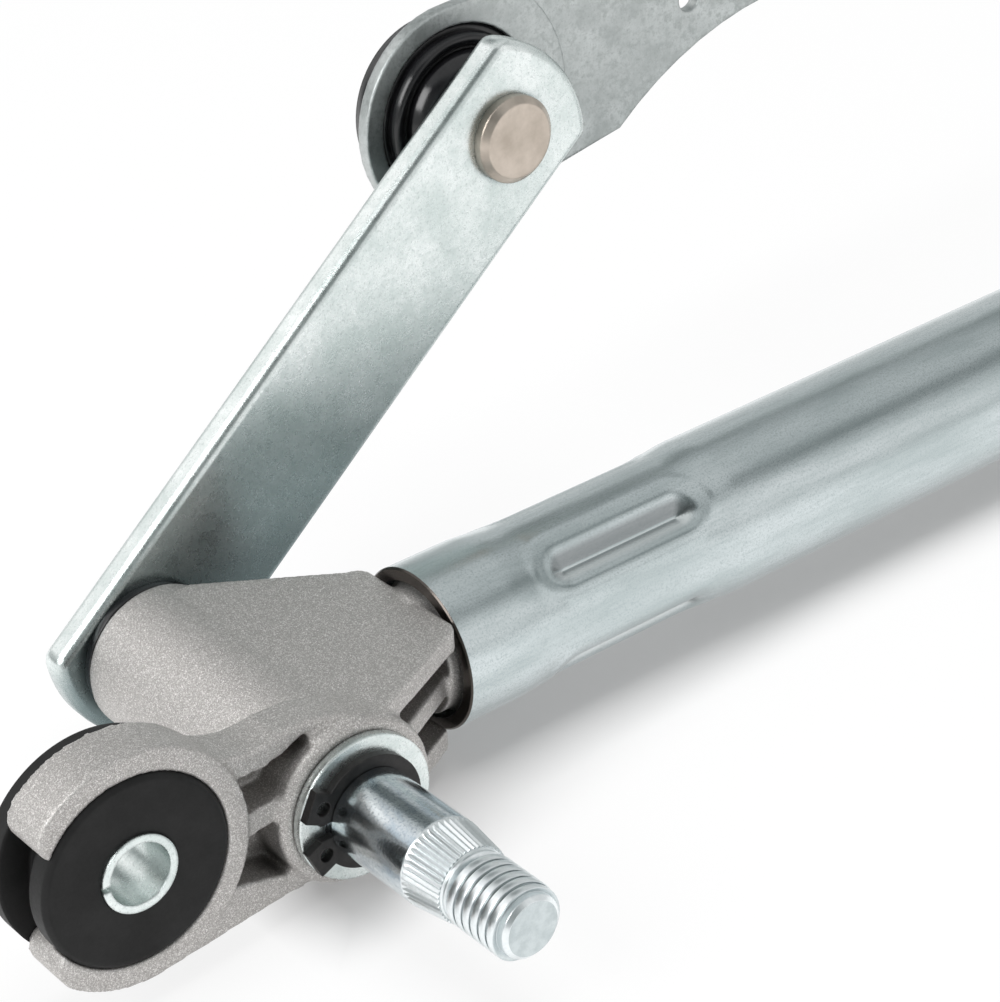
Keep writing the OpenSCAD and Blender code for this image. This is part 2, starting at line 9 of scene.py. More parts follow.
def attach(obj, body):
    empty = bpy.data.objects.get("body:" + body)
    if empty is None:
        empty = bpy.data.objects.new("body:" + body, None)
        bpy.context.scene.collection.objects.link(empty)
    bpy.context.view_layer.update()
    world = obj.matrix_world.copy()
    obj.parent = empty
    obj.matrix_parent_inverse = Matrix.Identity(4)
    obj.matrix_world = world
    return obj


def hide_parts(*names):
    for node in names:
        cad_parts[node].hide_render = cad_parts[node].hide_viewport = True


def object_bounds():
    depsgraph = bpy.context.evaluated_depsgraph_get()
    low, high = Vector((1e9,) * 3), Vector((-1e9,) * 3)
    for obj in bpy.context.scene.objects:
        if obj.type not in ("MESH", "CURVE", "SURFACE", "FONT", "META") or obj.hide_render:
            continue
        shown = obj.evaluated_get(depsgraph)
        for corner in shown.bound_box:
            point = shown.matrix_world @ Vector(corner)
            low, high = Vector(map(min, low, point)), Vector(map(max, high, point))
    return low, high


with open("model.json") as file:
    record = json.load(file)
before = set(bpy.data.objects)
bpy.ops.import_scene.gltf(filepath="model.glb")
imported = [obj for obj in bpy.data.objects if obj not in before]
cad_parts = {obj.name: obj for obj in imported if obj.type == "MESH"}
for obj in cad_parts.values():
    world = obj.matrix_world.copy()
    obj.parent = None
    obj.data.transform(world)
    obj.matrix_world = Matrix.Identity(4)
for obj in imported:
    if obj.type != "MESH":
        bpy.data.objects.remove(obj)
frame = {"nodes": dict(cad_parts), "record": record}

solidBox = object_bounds()  # box of the solids before anything is dressed
nodes = frame["nodes"]
mm = 0.001
spacing = 520.0  # between the spindles, in mm


# small helpers for node trees

def addNode(tree, kind, **values):
    node = tree.nodes.new(kind)
    for key, value in values.items():
        setattr(node, key, value)
    return node


def plug(tree, socket, value):
    if hasattr(value, "links"):
        tree.links.new(value, socket)
    else:
        socket.default_value = value


def feed(tree, node, **sockets):
    for key, value in sockets.items():
        plug(tree, node.inputs[key.replace("_", " ")], value)


def startFinish(name):
    mat = bpy.data.materials.new(name)
    mat.use_nodes = True
    tree = mat.node_tree
    shader = tree.nodes["Principled BSDF"]
    coords = addNode(tree, "ShaderNodeTexCoord").outputs["Object"]
    return mat, tree, shader, coords


def stretched(tree, coords, scale):
    mapping = addNode(tree, "ShaderNodeMapping")
    tree.links.new(coords, mapping.inputs["Vector"])
    mapping.inputs["Scale"].default_value = scale
    return mapping.outputs["Vector"]


def noise(tree, vector, scale, detail=3.0, rough=0.55):
    tex = addNode(tree, "ShaderNodeTexNoise")
    feed(tree, tex, Vector=vector, Scale=scale, Detail=detail, Roughness=rough)
    return tex.outputs["Fac"]


def ramp(tree, factor, stops):
    node = addNode(tree, "ShaderNodeValToRGB")
    tree.links.new(factor, node.inputs["Fac"])
    band = node.color_ramp
    while len(band.elements) < len(stops):
        band.elements.new(0.5)
    for element, (place, colour) in zip(band.elements, stops):
        element.position = place
        element.color = (*colour, 1.0)
    return node.outputs["Color"]


def span(tree, factor, low, high, fromLow=0.0, fromHigh=1.0, kind="LINEAR"):
    node = addNode(tree, "ShaderNodeMapRange", interpolation_type=kind)
    feed(tree, node, Value=factor, From_Min=fromLow, From_Max=fromHigh, To_Min=low, To_Max=high)
    return node.outputs["Result"]


def eased(tree, factor, *limits):
    return span(tree, factor, *limits, kind="SMOOTHSTEP")


def mixed(tree, factor, a, b):
    node = addNode(tree, "ShaderNodeMix", data_type="RGBA")
    plug(tree, node.inputs[0], factor)
    for index, colour in ((6, a), (7, b)):
        plug(tree, node.inputs[index], colour if hasattr(colour, "links") else (*colour, 1.0))
    return node.outputs[2]


def tinted(tree, colour, factor, limits, tone):
    return mixed(tree, span(tree, factor, *limits), colour, tone)


def calc(tree, operation, *values):
    node = addNode(tree, "ShaderNodeMath", operation=operation)
    for socket, value in zip(node.inputs, values):
        plug(tree, socket, value)
    return node.outputs[0]


def axes(tree, vector):
    node = addNode(tree, "ShaderNodeSeparateXYZ")
    tree.links.new(vector, node.inputs[0])
    return node.outputs


def faceNormal(tree):
    return axes(tree, addNode(tree, "ShaderNodeNewGeometry").outputs["True Normal"])


def softEdge(tree, radius, height, strength, distance):
    edge = addNode(tree, "ShaderNodeBevel", samples=6)
    edge.inputs["Radius"].default_value = radius
    bump = addNode(tree, "ShaderNodeBump")
    feed(tree, bump, Strength=strength, Distance=distance, Height=height, Normal=edge.outputs["Normal"])
    return bump.outputs["Normal"]


def nearby(tree, reach, inside, alone=True):
    around = addNode(tree, "ShaderNodeAmbientOcclusion", samples=6, inside=inside, only_local=alone)
    around.inputs["Distance"].default_value = reach
    return around.outputs["AO"]


def endFinish(tree, shader, look, colour, rough, height):
    tree.links.new(colour, shader.inputs["Base Color"])
    tree.links.new(span(tree, rough, *look["rough"]), shader.inputs["Roughness"])
    shader.inputs["Metallic"].default_value = look["metal"]
    tree.links.new(softEdge(tree, look["edge"], height, *look["bump"]), shader.inputs["Normal"])


# finishes, one for each material slot
# a noise is given by scale, detail and roughness, a span by its two results and the range it takes

castLook = {
    "dark": (0.25, 0.24, 0.23), "light": (0.54, 0.52, 0.503), "cloudy": (0.34, 0.325, 0.312),
    # the dark recess tone is painted shade with some grime
    # the pale edge tone is wear with a painted highlight
    "glint": (0.82, 0.80, 0.785), "wearAndHighlight": (0.80, 0.785, 0.77), "recessShadeAndGrime": (0.055, 0.048, 0.042),
    "grain": (7500.0, 2.0, 0.7), "cloud": (60.0, 3.0), "sparkle": 8250.0,
    "wearAndHighlightReach": 0.9 * mm, "recessShadeReach": 4.0 * mm,
    "cloudSpan": (0.0, 0.25), "glintSpan": (0.0, 1.0, 0.55, 1.0),
    "wearAndHighlightSpan": (0.55, 0.0, 0.40, 0.80), "recessShadeSpan": (0.85, 0.0, 0.12, 0.66),
    "rough": (0.36, 0.58), "metal": 0.85, "edge": 0.35 * mm, "bump": (0.55, 0.12 * mm),
}


def castFinish():
    look = castLook
    mat, tree, shader, coords = startFinish("blastedCasting")
    grain = noise(tree, coords, *look["grain"])
    cloud = noise(tree, coords, *look["cloud"])
    sparkle = addNode(tree, "ShaderNodeTexVoronoi")
    feed(tree, sparkle, Vector=coords, Scale=look["sparkle"])
    colour = ramp(tree, grain, [(0.30, look["dark"]), (0.72, look["light"])])
    colour = tinted(tree, colour, cloud, look["cloudSpan"], look["cloudy"])
    colour = tinted(tree, colour, sparkle.outputs["Color"], look["glintSpan"], look["glint"])
    # wear with a painted highlight: convex edges within 0.9 mm turn paler, found by ambient occlusion inside
    edges = nearby(tree, look["wearAndHighlightReach"], True)
    colour = tinted(tree, colour, edges, look["wearAndHighlightSpan"], look["wearAndHighlight"])
    # painted shade with some grime: the colour darkens in recesses within 4 mm, found by ambient occlusion
    recessShade = nearby(tree, look["recessShadeReach"], False)
    colour = tinted(tree, colour, recessShade, look["recessShadeSpan"], look["recessShadeAndGrime"])
    endFinish(tree, shader, look, colour, grain, grain)
    return mat


zincLook = {
    "cool": (0.58, 0.645, 0.63), "pale": (0.77, 0.815, 0.805), "speck": (0.36, 0.40, 0.395),
    "shade": (0.17, 0.22, 0.225), "shadeReach": 42 * mm,
    "cloud": (110.0, 6.0, 0.68), "patch": (900.0, 3.0, 0.6), "fine": (3600.0, 2.0, 0.65),
    "patchSpan": (0.0, 0.45, 0.48, 0.74), "fineSpan": (0.0, 0.75, 0.54, 0.80),
    "shadeSpan": (0.97, 0.0, 0.46, 0.76),
    "rough": (0.20, 0.36), "metal": 1.0, "edge": 0.5 * mm, "bump": (0.25, 0.06 * mm),
}


def zincFinish(name="platedZinc", shaded=False):
    look = zincLook
    mat, tree, shader, coords = startFinish(name)
    cloud = noise(tree, coords, *look["cloud"])
    patch = noise(tree, coords, *look["patch"])
    fine = noise(tree, coords, *look["fine"])
    colour = ramp(tree, cloud, [(0.36, look["cool"]), (0.62, look["pale"])])
    colour = tinted(tree, colour, patch, look["patchSpan"], look["cool"])
    colour = tinted(tree, colour, fine, look["fineSpan"], look["speck"])
    if shaded:
        clear = nearby(tree, look["shadeReach"], False, False)
        colour = tinted(tree, colour, clear, look["shadeSpan"], look["shade"])
    endFinish(tree, shader, look, colour, patch, fine)
    return mat


shaftLook = {
    "deep": (0.44, 0.51, 0.56), "ground": (0.56, 0.61, 0.635), "shine": (0.72, 0.77, 0.78),
    "speck": (0.24, 0.29, 0.34), "bright": (0.80, 0.84, 0.85), "dulled": (0.66, 0.70, 0.715),
    "endDark": (0.45, 0.50, 0.51), "endPale": (0.55, 0.60, 0.61),
    "stretch": (420.0, 130.0, 420.0), "streak": (1.0, 4.0, 0.65),
    "fine": (2600.0, 2.0, 0.6), "worn": (700.0, 4.0, 0.65),
    "speckSpan": (0.0, 0.6, 0.50, 0.74), "dullSpan": (0.0, 0.5, 0.35, 0.75),
    "groundSpan": (0.0, 1.0, 6.2 * mm, 6.5 * mm), "endSpan": (1.0, 0.0, -0.95, -0.75),
    "rough": (0.28, 0.17), "metal": 1.0, "edge": 0.15 * mm, "bump": (0.28, 0.05 * mm),
}


def shaftFinish():
    look = shaftLook
    mat, tree, shader, coords = startFinish("groundShaft")
    streak = noise(tree, stretched(tree, coords, look["stretch"]), *look["streak"])
    fine = noise(tree, coords, *look["fine"])
    worn = noise(tree, coords, *look["worn"])
    ground = ramp(tree, streak, [(0.36, look["deep"]), (0.50, look["ground"]), (0.66, look["shine"])])
    ground = tinted(tree, ground, fine, look["speckSpan"], look["speck"])
    plated = tinted(tree, look["bright"], fine, look["dullSpan"], look["dulled"])
    where = span(tree, axes(tree, coords)["Y"], *look["groundSpan"])
    cut = span(tree, faceNormal(tree)["Y"], *look["endSpan"])
    end = ramp(tree, worn, [(0.36, look["endDark"]), (0.62, look["endPale"])])
    colour = mixed(tree, cut, mixed(tree, where, plated, ground), end)
    endFinish(tree, shader, look, colour, where, fine)
    return mat


tubeLook = {
    "deep": (0.44, 0.495, 0.50), "pale": (0.575, 0.625, 0.635), "speck": (0.38, 0.435, 0.44),
    # the dark dent tone is painted shade and the pale dent tone a painted highlight
    "pressed": (0.18, 0.185, 0.19), "wearAndHighlight": (0.80, 0.83, 0.83), "cutEndOxideAndShade": (0.085, 0.075, 0.068),
    "stretch": (150.0, 2200.0, 2200.0), "streak": (1.0, 3.0, 0.6), "fine": (3600.0, 2.0, 0.65),
    "cloudStretch": (30.0, 160.0, 160.0), "cloud": (1.0, 4.0, 0.6),
    "streakSpan": (0.0, 0.45, 0.50, 0.78), "fineSpan": (0.0, 0.95, 0.48, 0.74),
    "dentShadeSpan": (0.0, 0.65, 0.1, 1.0), "wearAndHighlightSpan": (0.8, 0.0, -1.0, -0.1), "endSpan": (0.0, 1.0, 0.45, 0.65),
    "rough": (0.17, 0.30), "metal": 1.0, "edge": 0.2 * mm, "bump": (0.22, 0.05 * mm),
}


def tubeFinish():
    look = tubeLook
    mat, tree, shader, coords = startFinish("drawnTube")
    streak = noise(tree, stretched(tree, coords, look["stretch"]), *look["streak"])
    fine = noise(tree, coords, *look["fine"])
    cloud = noise(tree, stretched(tree, coords, look["cloudStretch"]), *look["cloud"])
    colour = ramp(tree, cloud, [(0.38, look["deep"]), (0.62, look["pale"])])
    colour = tinted(tree, colour, streak, look["streakSpan"], look["speck"])
    colour = tinted(tree, colour, fine, look["fineSpan"], look["speck"])
    # painted shade on one side of each dent and a painted highlight on the other
    press = addNode(tree, "ShaderNodeAttribute", attribute_name="press").outputs["Fac"]
    colour = tinted(tree, colour, press, look["dentShadeSpan"], look["pressed"])
    colour = tinted(tree, colour, press, look["wearAndHighlightSpan"], look["wearAndHighlight"])
    # cut ends painted near black: bare oxidised steel with painted shade
    ends = calc(tree, "ABSOLUTE", faceNormal(tree)["X"])
    colour = tinted(tree, colour, ends, look["endSpan"], look["cutEndOxideAndShade"])
    endFinish(tree, shader, look, colour, streak, fine)
    return mat


rodLook = {
    "dull": (0.38, 0.405, 0.40), "pale": (0.60, 0.63, 0.625), "speck": (0.30, 0.32, 0.32),
    "cloud": (160.0, 5.0, 0.65), "patch": (1100.0, 3.0, 0.6), "fine": (3000.0, 2.0),
    "patchSpan": (0.0, 0.8, 0.47, 0.66), "fineSpan": (0.0, 0.7, 0.54, 0.80),
    "rough": (0.36, 0.52), "metal": 1.0, "edge": 0.5 * mm, "bump": (0.2, 0.06 * mm),
}


def rodFinish():
    look = rodLook
    mat, tree, shader, coords = startFinish("dullSheet")
    cloud = noise(tree, coords, *look["cloud"])
    patch = noise(tree, coords, *look["patch"])
    fine = noise(tree, coords, *look["fine"])
    colour = ramp(tree, cloud, [(0.30, look["dull"]), (0.70, look["pale"])])
    colour = tinted(tree, colour, patch, look["patchSpan"], look["dull"])
    colour = tinted(tree, colour, fine, look["fineSpan"], look["speck"])
    endFinish(tree, shader, look, colour, cloud, fine)
    return mat


studLook = {
    "tones": [(0.32, (0.42, 0.365, 0.31)), (0.68, (0.57, 0.50, 0.435))],
    "cloud": (260.0, 4.0, 0.6), "fine": (3200.0, 2.0),
    "rough": (0.26, 0.42), "metal": 1.0, "edge": 0.35 * mm, "bump": (0.15, 0.04 * mm),
}
rubberLook = {
    "tones": [(0.35, (0.004, 0.004, 0.004)), (0.75, (0.012, 0.012, 0.012))],
    "cloud": (120.0, 4.0, 0.65), "fine": (2200.0, 3.0), "gloss": 0.24,
    "rough": (0.48, 0.66), "metal": 0.0, "edge": 0.7 * mm, "bump": (0.25, 0.06 * mm),
}
plasticLook = {
    "tones": [(0.35, (0.003, 0.003, 0.0035)), (0.75, (0.009, 0.009, 0.010))],
    "cloud": (200.0, 3.0), "fine": (2800.0, 2.0),
    "rough": (0.12, 0.24), "metal": 0.0, "edge": 0.5 * mm, "bump": (0.1, 0.03 * mm),
}
clipLook = {
    "tones": [(0.40, (0.006, 0.0055, 0.0055)), (0.80, (0.026, 0.024, 0.023))],
    "cloud": (500.0, 4.0, 0.65), "fine": (3600.0, 2.0),
    "rough": (0.34, 0.52), "metal": 0.35, "edge": 0.25 * mm, "bump": (0.2, 0.04 * mm),
}


def plainFinish(name, look):
    mat, tree, shader, coords = startFinish(name)
    cloud = noise(tree, coords, *look["cloud"])
    fine = noise(tree, coords, *look["fine"])
    if "gloss" in look:
        shader.inputs["Specular IOR Level"].default_value = look["gloss"]
    endFinish(tree, shader, look, ramp(tree, cloud, look["tones"]), fine, fine)
    return mat


bushLook = {
    "tones": [(0.35, (0.36, 0.22, 0.11)), (0.65, (0.60, 0.41, 0.22))],
    "pores": (3000.0, 3.0), "rough": (0.35, 0.6), "metal": 1.0,
}


def bushFinish():
    look = bushLook
    mat, tree, shader, coords = startFinish("sinteredBush")
    pores = noise(tree, coords, *look["pores"])
    tree.links.new(ramp(tree, pores, look["tones"]), shader.inputs["Base Color"])
    tree.links.new(span(tree, pores, *look["rough"]), shader.inputs["Roughness"])
    shader.inputs["Metallic"].default_value = look["metal"]
    return mat


finishes = {
    "cast_aluminium": castFinish(),
    "zinc_steel": zincFinish(),
    "tube_steel": tubeFinish(),
    "rod_steel": rodFinish(),
    "stud_steel": plainFinish("nickelStud", studLook),
    "clip_steel": plainFinish("phosphateClip", clipLook),
    "black_rubber": plainFinish("matRubber", rubberLook),
    "black_plastic": plainFinish("mouldedPlastic", plasticLook),
    "bush_bronze": bushFinish(),
}
slotOf = {part["node"]: part["material_slot"] for part in frame["record"]["subparts"]}
for name, obj in nodes.items():
    obj.data.materials.clear()
    obj.data.materials.append(finishes[slotOf[name]])
print("finishes on", len(nodes), "solids")


# helpers for shaped pieces

solidGap = 0.002 * mm
ringGap = 0.001 * mm


def plainMesh(name, verts, faces):
    mesh = bpy.data.meshes.new(name)
    mesh.from_pydata(verts, [], faces)
    mesh.validate()
    return mesh


def settle(name, mesh, body, slot, node=None, finish=None):
    mesh.materials.clear()
    mesh.materials.append(finish or finishes[slot])
    obj = bpy.data.objects.new(name, mesh)
    bpy.context.scene.collection.objects.link(obj)
    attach(obj, body)
    if node:
        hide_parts(node)


def cleaned(mesh, gap=None):
    work = bmesh.new()
    work.from_mesh(mesh)
    if gap:
        bmesh.ops.remove_doubles(work, verts=work.verts, dist=gap)
    bmesh.ops.recalc_face_normals(work, faces=work.faces)
    work.to_mesh(mesh)
    work.free()
    return mesh


def mergedCopy(node):
    return cleaned(nodes[node].data.copy(), solidGap)


def nodeBox(node):
    spots = np.array([v.co for v in nodes[node].data.vertices]) / mm
    return spots.min(0), spots.max(0)


def baked(mesh, *changes):
    obj = bpy.data.objects.new("bench", mesh)
    bpy.context.scene.collection.objects.link(obj)
    for kind, values in changes:
        change = obj.modifiers.new(kind.lower(), kind)
        for key, value in values.items():
            setattr(change, key, value)
    view = bpy.context.evaluated_depsgraph_get()
    done = bpy.data.meshes.new_from_object(obj.evaluated_get(view), depsgraph=view)
    bpy.data.objects.remove(obj)
    return done


def smoothShade(mesh, angle=None):
    for face in mesh.polygons:
        face.use_smooth = True
    if angle is not None:
        mesh.set_sharp_from_angle(angle=math.radians(angle))


# castings: blended corners as they leave the die

castSet = {
    "voxel": 0.36 * mm, "allRounds": 1, "hollowRounds": 6, "step": 0.5, "least": 0.008 * mm, "keep": 0.4,
}


def relaxed(mesh):
    count = len(mesh.vertices)
    place = np.empty(count * 3)
    mesh.vertices.foreach_get("co", place)
    place = place.reshape(-1, 3)
    ends = np.empty(len(mesh.edges) * 2, int)
    mesh.edges.foreach_get("vertices", ends)
    ends = ends.reshape(-1, 2)
    mesh.calc_loop_triangles()
    tris = np.empty(len(mesh.loop_triangles) * 3, int)
    mesh.loop_triangles.foreach_get("vertices", tris)
    tris = tris.reshape(-1, 3)
    first, second = ends[:, 0], ends[:, 1]
    degree = np.bincount(ends.ravel(), minlength=count)[:, None]
    for turn in range(castSet["allRounds"] + castSet["hollowRounds"]):
        total = np.empty((count, 3))
        for axis in range(3):
            total[:, axis] = np.bincount(first, place[second, axis], count)
            total[:, axis] += np.bincount(second, place[first, axis], count)
        pull = total / degree - place
        if turn >= castSet["allRounds"]:  # from here on only inner corners fill up
            flat = np.cross(place[tris[:, 1]] - place[tris[:, 0]], place[tris[:, 2]] - place[tris[:, 0]])
            normal = np.zeros((count, 3))
            for corner in range(3):
                for axis in range(3):
                    normal[:, axis] += np.bincount(tris[:, corner], flat[:, axis], count)
            normal /= np.linalg.norm(normal, axis=1)[:, None] + 1e-20
            lift = (pull * normal).sum(1)
            pull = normal * np.where(lift > castSet["least"], lift, 0.0)[:, None]
        place = place + castSet["step"] * pull
    mesh.vertices.foreach_set("co", place.ravel())
    mesh.update()


def makeCastings():
    for side in ("left", "right"):
        node = side + "_housing"
        mesh = baked(mergedCopy(node), ("REMESH", {"mode": "VOXEL", "voxel_size": castSet["voxel"]}))
        relaxed(mesh)
        mesh = baked(mesh, ("DECIMATE", {"ratio": castSet["keep"]}))
        smoothShade(mesh)
        settle(side + "Casting", mesh, "frame", "cast_aluminium", node)
        print(node, len(mesh.polygons), "faces")


# tube: cut ends, soft neck at the crimps and four chisel dents at each end

tubeSet = {
    "start": 24.5, "depth": 43.1, "rise": 1.8, "radius": 11.5, "wall": 1.8, "crimpAt": 54.0,
    "halfLength": 13.8, "halfWidth": 4.0, "dent": 1.9, "rim": 0.36, "neck": 0.5, "angle": 49.0,
    "swell": 0.5, "raised": 0.12, "skew": 0.84, "neckReach": 6.0, "neckFade": 7.0,
    # these place the painted shade and the painted highlight on the dents
    "dentShadingFade": 0.2, "dentShadingFrom": 0.1, "wearAndHighlight": -0.8,
    "ease": 0.25, "endStep": 1.5, "endCount": 4, "fineBefore": 23.0, "fineStep": 0.4, "fineCount": 116,
    "plainFrom": 23.5, "plainStep": 20.0, "plainCount": 9, "turnStep": 0.42, "turnHalf": 13,
    "gapTurns": (-12, -6, 0, 6, 12), "smooth": 40,
}


def tubeRadius(x, turn):
    t = tubeSet
    out = t["radius"]
    press = 0.0
    near = min(abs(x - t["crimpAt"]), abs(spacing - x - t["crimpAt"]))
    fade = min(max((t["halfLength"] + t["neckReach"] - near) / t["neckFade"], 0.0), 1.0)
    out -= t["neck"] * fade * fade * (3.0 - 2.0 * fade)
    for quarter in range(4):
        away = (turn - math.radians(t["angle"] + 90.0 * quarter) + math.pi) % (2 * math.pi) - math.pi
        across = away * t["radius"] + t["skew"]
        width = t["halfWidth"] + math.copysign(t["skew"], across)
        over = max(near - (t["halfLength"] - t["halfWidth"]), 0.0)
        inside = 1.0 - math.hypot(over / t["halfWidth"], across / width)
        if inside > 0.0:
            soft = t["rim"]
            deep = inside * inside / (2 * soft) if inside < soft else inside - soft / 2
            out -= t["dent"] * deep / (1 - soft / 2)
            # painted light on the dents: one side of each dent is marked for painted shade, the other for a
            # painted highlight
            press = min(max((inside - soft) / t["dentShadingFade"], 0.0), 1.0)
            if across <= t["dentShadingFrom"]:
                press *= t["wearAndHighlight"]
        elif inside > -t["swell"]:
            out += t["raised"] * math.sin(math.pi * (inside + t["swell"]) / t["swell"])
    return out, press


def tubeMarks():
    t = tubeSet
    first = t["start"] + t["ease"]
    marks = [t["start"], first]
    marks += [first + step * t["endStep"] for step in range(1, t["endCount"] + 1)]
    marks += [t["crimpAt"] - t["fineBefore"] + t["fineStep"] * step for step in range(t["fineCount"])]
    marks += [t["crimpAt"] + t["plainFrom"] + t["plainStep"] * step for step in range(1, t["plainCount"] + 1)]
    marks = [x for x in marks if x < spacing / 2 - 1.0]
    return marks + [spacing / 2] + [spacing - x for x in reversed(marks)]


def tubeTurns():
    t = tubeSet
    turns = []
    for quarter in range(4):
        middle = math.radians(t["angle"] + 90.0 * quarter)
        steps = range(-t["turnHalf"], t["turnHalf"] + 1)
        turns += [middle + step * t["turnStep"] / t["radius"] for step in steps]
        turns += [middle + math.radians(45.0) + math.radians(step) for step in t["gapTurns"]]
    return turns


def makeTube():
    t = tubeSet
    marks, turns = tubeMarks(), tubeTurns()
    count = len(turns)
    verts, faces, pressed = [], [], []
    for layer in (0.0, t["wall"]):
        for index, x in enumerate(marks):
            ease = t["ease"] if layer == 0.0 and index in (0, len(marks) - 1) else 0.0
            for turn in turns:
                r, press = tubeRadius(x, turn)
                r -= layer + ease
                pressed.append(press if layer == 0.0 else 0.0)
                y, z = t["depth"] - r * math.cos(turn), t["rise"] + r * math.sin(turn)
                verts.append((x * mm, y * mm, z * mm))
    rows = len(marks)

    def at(layer, row, column):
        return (layer * rows + row) * count + column % count

    for row in range(rows - 1):
        for column in range(count):
            up, on = row + 1, column + 1
            faces.append((at(0, row, column), at(0, up, column), at(0, up, on), at(0, row, on)))
            faces.append((at(1, row, column), at(1, row, on), at(1, up, on), at(1, up, column)))
    last = rows - 1
    for column in range(count):
        on = column + 1
        faces.append((at(0, 0, column), at(0, 0, on), at(1, 0, on), at(1, 0, column)))
        faces.append((at(0, last, column), at(1, last, column), at(1, last, on), at(0, last, on)))
    mesh = cleaned(plainMesh("drawnTube", verts, faces))
    smoothShade(mesh, t["smooth"])
    mesh.attributes.new("press", "FLOAT", "POINT").data.foreach_set("value", pressed)
    settle("crimpedTube", mesh, "frame", "tube_steel", "cross_tube")
    print("tube", len(mesh.polygons), "faces")


# cranks and rods: stamped edges

stampSet = {
    "left_crank": {"body": "left_lever", "slot": "zinc_steel", "edge": 1.4},
    "right_crank": {"body": "right_lever", "slot": "zinc_steel", "edge": 1.4},
    "link_rod": {"body": "link", "slot": "rod_steel", "edge": 0.4},
    "drive_rod": {"body": "drive", "slot": "rod_steel", "edge": 0.4},
}
bevelSet = {"flat": math.radians(0.5), "corner": math.radians(50), "segments": 3, "smallFace": 12 * mm * mm}


def makeStamped():
    crankZinc = zincFinish("crankZinc", True)
    for node, stamp in stampSet.items():
        mesh = mergedCopy(node)
        work = bmesh.new()
        work.from_mesh(mesh)
        bmesh.ops.dissolve_limit(work, angle_limit=bevelSet["flat"], verts=work.verts, edges=work.edges)
        work.to_mesh(mesh)
        work.free()
        edge = {
            "width": stamp["edge"] * mm, "segments": bevelSet["segments"],
            "limit_method": "ANGLE", "angle_limit": bevelSet["corner"],
        }
        mesh = baked(mesh, ("BEVEL", edge))
        for face in mesh.polygons:
            face.use_smooth = face.area < bevelSet["smallFace"]
        side, kind = node.split("_")
        finish = crankZinc if kind == "crank" else None
        settle(side + "Stamped" + kind.title(), mesh, stamp["body"], stamp["slot"], node, finish)
        print(node, len(mesh.polygons), "faces")


# spindles: turned shaft, straight serrations on the cone, rolled thread

spindleSet = {
    "teeth": 48, "toothSize": 0.36, "coneFrom": (0.25, 5.2), "coneTo": (6.2, 6.02),
    "pitch": 1.5, "threadTop": 4.98, "threadRoot": 4.12, "threadFrom": -0.9, "threadTo": -10.1,
    "profile": [
        (0.0, -11.0), (3.6, -11.0), (4.15, -10.5), (4.15, -0.75), (4.7, -0.35), (4.7, 0.0), (4.84, 0.15),
        (5.62, 5.6), (5.98, 6.3), (6.0, 6.6), (6.0, 20.2), (5.6, 20.25), (5.6, 21.5), (6.0, 21.55),
        (6.0, 70.4), (5.0, 70.4), (5.0, 74.9), (6.6, 74.9), (6.3, 76.1), (4.5, 77.1), (0.0, 77.1),
    ],
    "sunk": 0.2, "foot": 1.36, "crest": 0.26, "crestRound": 0.16, "roundSteps": 3, "coilSteps": 64,
    "runOut": 0.07, "thinned": 0.15, "smooth": 28,
}


def lathe(name, profile, x0, count=96):
    verts, faces, rings = [], [], []
    for r, y in profile:
        if r == 0.0:
            rings.append([len(verts)])
            verts.append((x0 * mm, y * mm, 0.0))
            continue
        rings.append(list(range(len(verts), len(verts) + count)))
        for step in range(count):
            turn = 2 * math.pi * step / count
            verts.append(((x0 + r * math.cos(turn)) * mm, y * mm, r * math.sin(turn) * mm))
    for low, high in zip(rings, rings[1:]):
        for step in range(count):
            after = (step + 1) % count
            if len(low) == 1:
                faces.append((low[0], high[step], high[after]))
            elif len(high) == 1:
                faces.append((low[step], high[0], low[after]))
            else:
                faces.append((low[step], high[step], high[after], low[after]))
    return plainMesh(name, verts, faces)


def newTree(name, inputs):
    tree = bpy.data.node_groups.new(name, "GeometryNodeTree")
    tree.interface.new_socket("Geometry", in_out="INPUT", socket_type="NodeSocketGeometry")
    ids = {}
    for label, kind in inputs:
        ids[label] = tree.interface.new_socket(label, in_out="INPUT", socket_type=kind).identifier
    tree.interface.new_socket("Geometry", in_out="OUTPUT", socket_type="NodeSocketGeometry")
    return tree, tree.nodes.new("NodeGroupInput"), tree.nodes.new("NodeGroupOutput"), ids


def closeTree(tree, out, geometry, material):
    real = tree.nodes.new("GeometryNodeRealizeInstances")
    paint = tree.nodes.new("GeometryNodeSetMaterial")
    paint.inputs["Material"].default_value = material
    tree.links.new(geometry, real.inputs[0])
    tree.links.new(real.outputs[0], paint.inputs["Geometry"])
    tree.links.new(paint.outputs[0], out.inputs[0])


